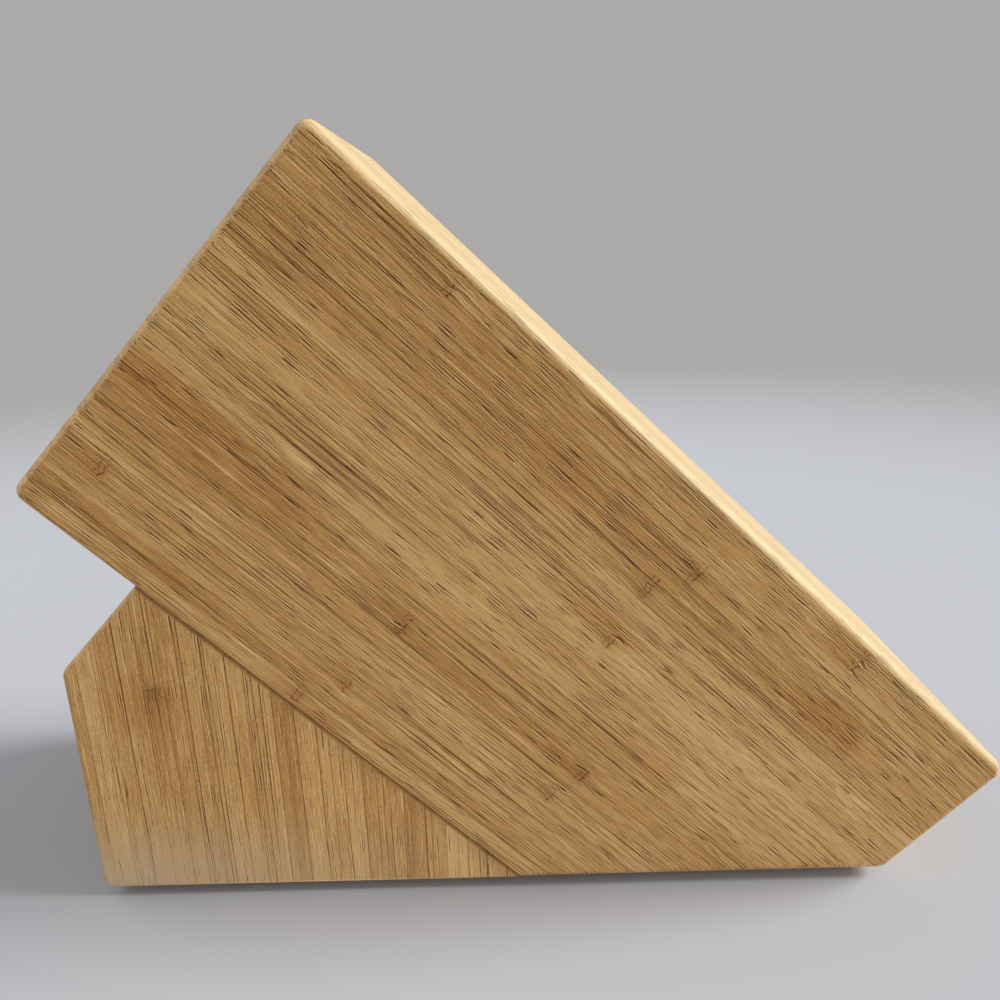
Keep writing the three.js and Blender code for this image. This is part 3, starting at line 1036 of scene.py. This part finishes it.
RUBBER_COLOURS = ((0.3, (0.018, 0.018, 0.019)), (0.7, (0.036, 0.035, 0.034)))
STEEL_COLOURS = ((0.3, (0.42, 0.41, 0.38)), (0.7, (0.62, 0.61, 0.58)))
BEECH_COLOURS = ((0.3, (0.45, 0.27, 0.13)), (0.7, (0.66, 0.45, 0.26)))
BEECH_FLECK = (0.25, 0.12, 0.05)
PORE_FINENESS = (6, 6, 6)
SCRATCH_SCALES = (0.6, 9, 4)
RING_SCALES = (0.05, 1, 1)
FLECK_SCALES = (0.6, 5.0, 5.0)
FLECK_LIMITS = (0.62, 0.72)
FLECK_STRENGTH = 0.5
FLECK_DEPTH = -0.6
NOISE_RANGE = (0.3, 0.7)  # nearly all of a noise's values
RUBBER_ROUGHNESS = (0.72, 0.9)
STEEL_ROUGHNESS = (0.28, 0.5)
BEECH_ROUGHNESS = (0.6, 0.75)
RUBBER_SPECULAR = 0.3
RUBBER_BUMP = 0.03 * MM
STEEL_BUMP = 0.01 * MM
BEECH_BUMP = 0.04 * MM


def rubber():
    tree = Tree("bumper_rubber")
    place = tree.millimetres()
    blotch = tree.noise(place, 3.0)
    pores = tree.noise(tree.scaled(place, PORE_FINENESS), 2.0)
    tree.put(tree.shader.inputs["Base Color"], tree.colours(blotch, RUBBER_COLOURS))
    tree.put(tree.shader.inputs["Roughness"], tree.ramp(blotch, *NOISE_RANGE, *RUBBER_ROUGHNESS))
    tree.shader.inputs["Specular IOR Level"].default_value = RUBBER_SPECULAR
    tree.bump(pores, RUBBER_BUMP)
    return tree.material


def steel():
    tree = Tree("screw_steel")
    place = tree.millimetres()
    scratches = tree.noise(tree.scaled(place, SCRATCH_SCALES), 2.0)
    plating = tree.noise(place, 2.0)
    tree.put(tree.shader.inputs["Base Color"], tree.colours(plating, STEEL_COLOURS))
    tree.shader.inputs["Metallic"].default_value = 1.0
    tree.put(tree.shader.inputs["Roughness"], tree.ramp(scratches, *NOISE_RANGE, *STEEL_ROUGHNESS))
    tree.bump(scratches, STEEL_BUMP)
    return tree.material


def beech():
    tree = Tree("dowel_beech")
    place = tree.millimetres()
    down, up = body_directions()
    ways = [tree.dot(place, axis) for axis in (up, down, (0, 1, 0))]
    rings = tree.stretched_noise(ways, RING_SCALES, 2.0)
    flecks = tree.ramp(tree.stretched_noise(ways, FLECK_SCALES), *FLECK_LIMITS)
    plain = tree.colours(rings, BEECH_COLOURS)
    colour = tree.blend(tree.times(flecks, FLECK_STRENGTH), plain, BEECH_FLECK)
    tree.put(tree.shader.inputs["Base Color"], colour)
    tree.put(tree.shader.inputs["Roughness"], tree.ramp(rings, *NOISE_RANGE, *BEECH_ROUGHNESS))
    tree.bump(tree.plus(rings, tree.times(flecks, FLECK_DEPTH)), BEECH_BUMP)
    return tree.material


# ---- Floor, light and camera ---------------------------------------------------------------------

CAMERA_PLACE = (-8.887 * MM, -295.36 * MM, 216.17 * MM)
CAMERA_CLIP = (0.01, 100)  # nearest and furthest that it sees
CAMERA_YAW = math.radians(-0.276)
CAMERA_PITCH = math.radians(17.224)  # below level
CAMERA_ROLL = math.radians(1.681)
LENS = 30.09  # Blender's lens and sensor sizes are in millimetres
SENSOR = 36.0

# Name, direction that the light comes from, spread in degrees, strength and colour.
LIGHTS = (
    ("key", (0.87, 0.06, 0.50), 23, 1.22, (1.0, 0.99, 0.965)),
    ("fill", (0.35, -1.0, 0.30), 50, 0.15, (0.985, 0.99, 1.0)),
    ("top_left", (-0.62, 0.2, 0.72), 40, 0.13, (0.985, 0.99, 1.0)),
)
WORLD_COLOUR = (0.41, 0.402, 0.398)
FLOOR_NEAR = (0.50, 0.52, 0.565)
FLOOR_SIZE = 400.0
FADE_START = 0.45  # from the object to where the floor starts to fade
FADE_END = 1.3


def far_floor_colour():
    """The floor colour that looks like the surroundings under all the lights together."""
    colour = []
    for channel in range(3):
        light_sum = WORLD_COLOUR[channel]
        for _, direction, _, strength, tint in LIGHTS:
            light_sum += Vector(direction).normalized().z * strength * tint[channel]
        colour.append(WORLD_COLOUR[channel] / light_sum)
    return tuple(colour)


def make_camera():
    forward = Vector((
        math.sin(CAMERA_YAW) * math.cos(CAMERA_PITCH),
        math.cos(CAMERA_YAW) * math.cos(CAMERA_PITCH),
        -math.sin(CAMERA_PITCH),
    ))
    level = Vector((math.cos(CAMERA_YAW), -math.sin(CAMERA_YAW), 0))
    down = forward.cross(level)
    side = level * math.cos(CAMERA_ROLL) + down * math.sin(CAMERA_ROLL)
    up = level * math.sin(CAMERA_ROLL) - down * math.cos(CAMERA_ROLL)
    data = bpy.data.cameras.new("camera")
    data.lens = LENS
    data.sensor_width = SENSOR
    data.clip_start, data.clip_end = CAMERA_CLIP
    camera = bpy.data.objects.new("camera", data)
    turn = Matrix((side, up, -forward)).transposed()
    camera.matrix_world = Matrix.Translation(CAMERA_PLACE) @ turn.to_4x4()
    bpy.context.scene.collection.objects.link(camera)
    bpy.context.scene.camera = camera


def make_floor():
    """A pale floor whose far part fades to the colour of the surroundings."""
    bm = bmesh.new()
    bmesh.ops.create_grid(bm, x_segments=1, y_segments=1, size=FLOOR_SIZE / 2)
    floor = scene_object("floor", bm)
    tree = Tree("floor")
    place = tree.coordinate("Object")
    distance = tree.add("VectorMath", place, operation="LENGTH").outputs["Value"]
    fade = tree.ramp(distance, FADE_START, FADE_END)
    colour = tree.blend(fade, FLOOR_NEAR, far_floor_colour())
    tree.put(tree.shader.inputs["Base Color"], colour)
    tree.shader.inputs["Roughness"].default_value = 1.0
    tree.shader.inputs["Specular IOR Level"].default_value = 0.0
    floor.data.materials.append(tree.material)


def soft_light(name, direction, spread, strength, colour):
    """A wide, even light that comes from a direction, as from a large soft box."""
    data = bpy.data.lights.new(name, "SUN")
    data.angle = math.radians(spread)
    data.energy = strength * math.pi
    data.color = colour
    light = bpy.data.objects.new(name, data)
    light.rotation_euler = Vector(direction).to_track_quat("Z", "Y").to_euler()
    bpy.context.scene.collection.objects.link(light)


def make_lights():
    world = bpy.data.worlds.new("surroundings")
    world.use_nodes = True
    world.node_tree.nodes["Background"].inputs["Color"].default_value = (*WORLD_COLOUR, 1)
    bpy.context.scene.world = world
    for light in LIGHTS:
        soft_light(*light)


# ---- Everything ----------------------------------------------------------------------------------


def make_object():
    body, upright = bamboo_axes()
    materials = {
        "near_side": bamboo("bamboo_near_side", body, NEAR_KNUCKLES, NEAR_STAINS, drift=0.055),
        "far_side": bamboo("bamboo_far_side", body),
        "divider": bamboo("bamboo_divider", body),
        "rail": bamboo("bamboo_rail", body),
        "foot": bamboo("bamboo_foot", upright, FOOT_KNUCKLES, FOOT_STAINS,
                       calm=1.0, lit_face_sheen=0.2, pale_base=0.9),
    }
    make_boards(materials)
    make_bumpers(rubber())
    make_screws(steel())
    make_dowels(beech())


make_camera()
make_floor()
make_lights()
make_object()
bpy.context.scene.view_settings.view_transform = "Standard"
